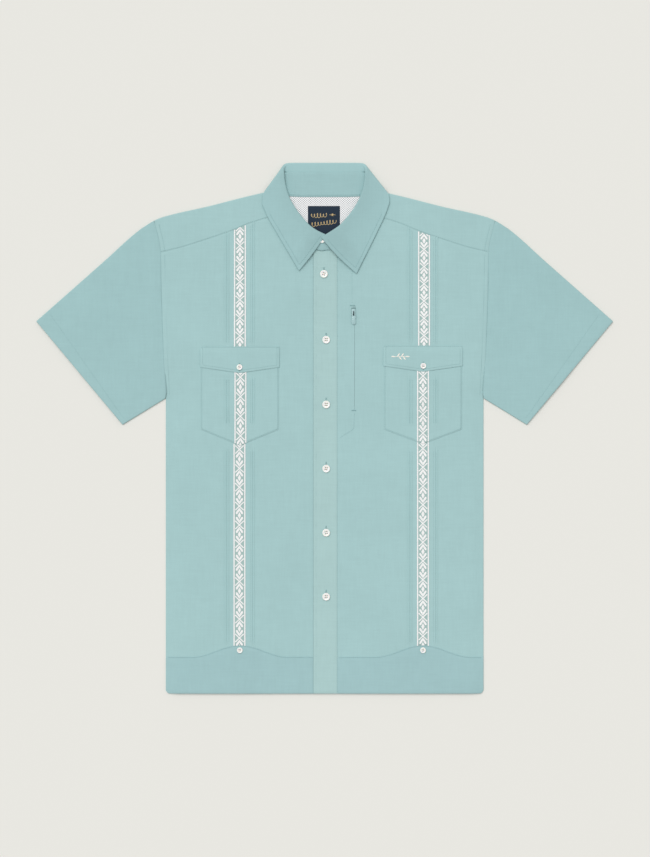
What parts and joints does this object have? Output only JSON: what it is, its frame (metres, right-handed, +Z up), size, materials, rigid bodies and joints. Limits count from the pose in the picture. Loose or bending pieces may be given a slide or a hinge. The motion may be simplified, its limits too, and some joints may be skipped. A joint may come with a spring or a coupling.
{
  "type": "guayabera shirt",
  "caption": "Short-sleeved guayabera shirt laid flat and buttoned, with embroidered bands, pintucks, flapped chest pockets and a concealed zip with a hinged pull tab.",
  "frame": {"origin": "on the surface that the shirt lies on, under the middle of its bounding box, which is on the centre front line at mid length", "axes": "+X towards the wearer's left sleeve, +Y from the hem to the collar, +Z up, out of the front"},
  "size_m": [0.8942, 0.8228, 0.0113],
  "materials": {
    "shirt_cloth": "matt light teal poplin, fine plain weave, topstitched in the same colour",
    "embroidery": "white satin-stitch embroidery on the shirt's cloth",
    "lining_mesh": "white open mesh knit",
    "label_satin": "navy woven satin label with a plain gold motif",
    "button_pearl": "glossy off-white, slightly pearly",
    "zip_enamel": "satin teal enamel"
  },
  "bodies": {
    "shirt": {"back": "shirt_cloth", "yoke": "shirt_cloth", "front_right": "shirt_cloth", "front_left": "shirt_cloth", "placket": "shirt_cloth", "sleeve_right": "shirt_cloth", "sleeve_left": "shirt_cloth", "collar_stand": "shirt_cloth", "collar_fall": "shirt_cloth", "pocket_right": "shirt_cloth", "pocket_left": "shirt_cloth", "flap_right": "shirt_cloth", "flap_left": "shirt_cloth", "hem_band_right": "shirt_cloth", "hem_band_left": "shirt_cloth", "zip_tape": "shirt_cloth", "yoke_lining": "lining_mesh", "neck_label": "label_satin", "band_right_upper": "embroidery", "band_right_pocket": "embroidery", "band_right_lower": "embroidery", "band_left_upper": "embroidery", "band_left_pocket": "embroidery", "band_left_lower": "embroidery", "button_1": "button_pearl", "button_2": "button_pearl", "button_3": "button_pearl", "button_4": "button_pearl", "button_5": "button_pearl", "button_6": "button_pearl", "button_collar": "button_pearl", "button_flap_right": "button_pearl", "button_flap_left": "button_pearl", "button_hem_right": "button_pearl", "button_hem_left": "button_pearl", "zip_slider": "zip_enamel"},
    "zip_pull": {"zip_pull": "zip_enamel"}
  },
  "joints": [
    {"name": "zip_pull_hinge", "type": "hinge", "parent": "shirt", "child": "zip_pull", "pos_m": [0.0449, 0.1781, 0.00465], "axis": [-1, 0, 0], "range_deg": [0, 160]}
  ]
}
